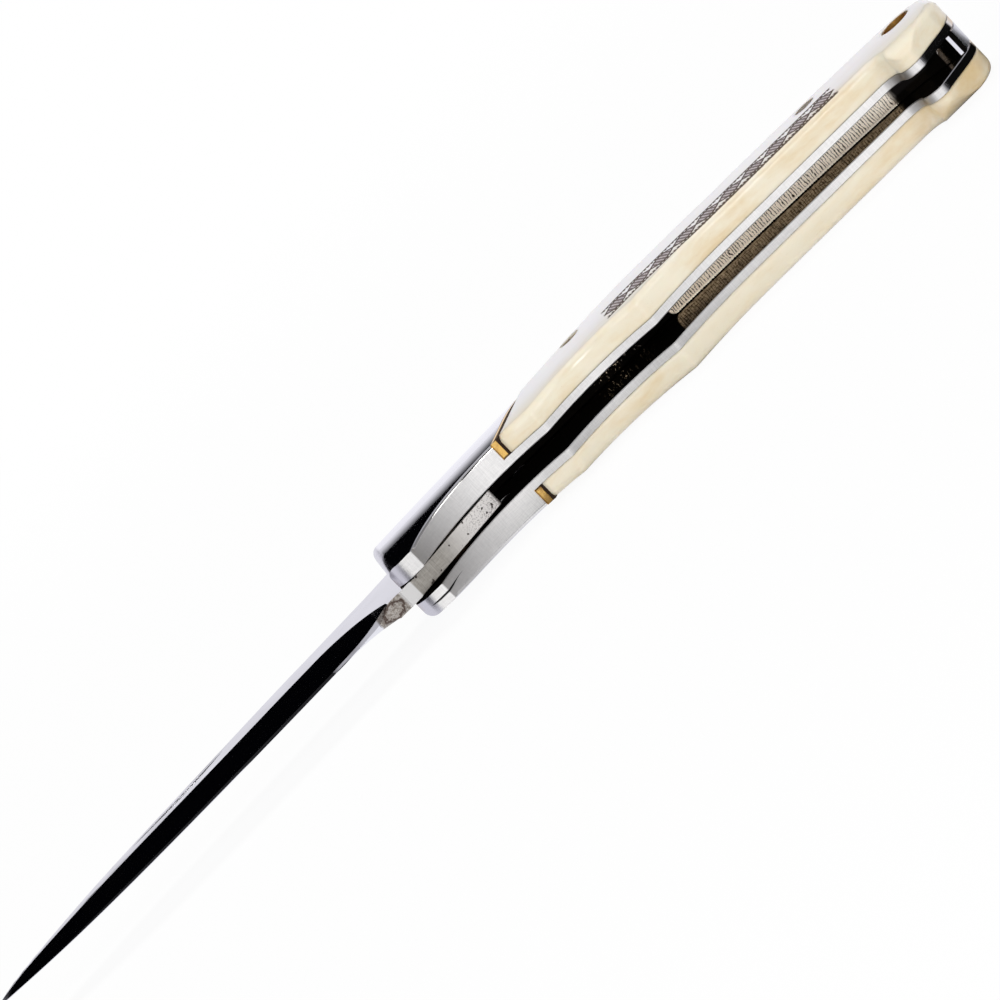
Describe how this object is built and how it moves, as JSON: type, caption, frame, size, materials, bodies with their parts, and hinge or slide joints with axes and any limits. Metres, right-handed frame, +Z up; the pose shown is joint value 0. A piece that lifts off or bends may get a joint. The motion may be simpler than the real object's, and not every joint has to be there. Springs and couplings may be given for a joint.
{
  "type": "folding pocket knife",
  "caption": "Lockback folding pocket knife, open, with a hollow-ground blade, steel bolsters, bone scales with finger grooves and a lanyard hole in the butt.",
  "frame": {"origin": "on the flat outer face of the right scale, which the knife lies on, under the middle of the handle", "axes": "+X along the handle to the butt, +Y to the back, +Z up out of the left, nail-nick side"},
  "size_m": [0.1963, 0.0326, 0.0138],
  "materials": {
    "blade_steel": "mirror-polished hollow grind, satin tang",
    "bolster_steel": "mirror-polished sides, brushed belly",
    "liner_steel": "brushed edges",
    "spring_steel": "ground, with coarse cross marks",
    "pin_metal": "peened and sanded flush",
    "pin_steel": "plain, hidden",
    "tube_brass": "aged",
    "brass": "sanded",
    "washer_bronze": "plain, hidden",
    "fibre": "dark fibre",
    "bone": "polished cream bone with tan clouds"
  },
  "bodies": {
    "handle": {"bolster_left": "bolster_steel", "bolster_pins_left": "pin_steel", "bolster_pins_right": "pin_steel", "bolster_right": "bolster_steel", "brass_strip_left": "brass", "brass_strip_right": "brass", "fibre_strip_left": "fibre", "fibre_strip_right": "fibre", "lanyard_tube": "tube_brass", "liner_left": "liner_steel", "liner_right": "liner_steel", "lock_pin": "pin_metal", "lock_spring": "spring_steel", "pivot_pin": "bolster_steel", "pivot_washer_left": "washer_bronze", "pivot_washer_right": "washer_bronze", "scale_left": "bone", "scale_right": "bone", "spring_pin": "pin_metal"},
    "blade": {"blade": "blade_steel"},
    "lock": {"lock_bar": "spring_steel"}
  },
  "joints": [
    {"name": "blade_pivot", "type": "hinge", "parent": "handle", "child": "blade", "pos_m": [-0.066, -0.0015, 0.0069], "axis": [0, 0, 1], "range_deg": [0, 172]},
    {"name": "lock_rocker", "type": "hinge", "parent": "handle", "child": "lock", "pos_m": [-0.032, 0.0103, 0.0069], "axis": [0, 0, -1], "range_deg": [0, 4.5], "stiffness_Nm_per_rad": 0.7, "springref_deg": -13.75, "deforming": ["lock_spring"]}
  ]
}
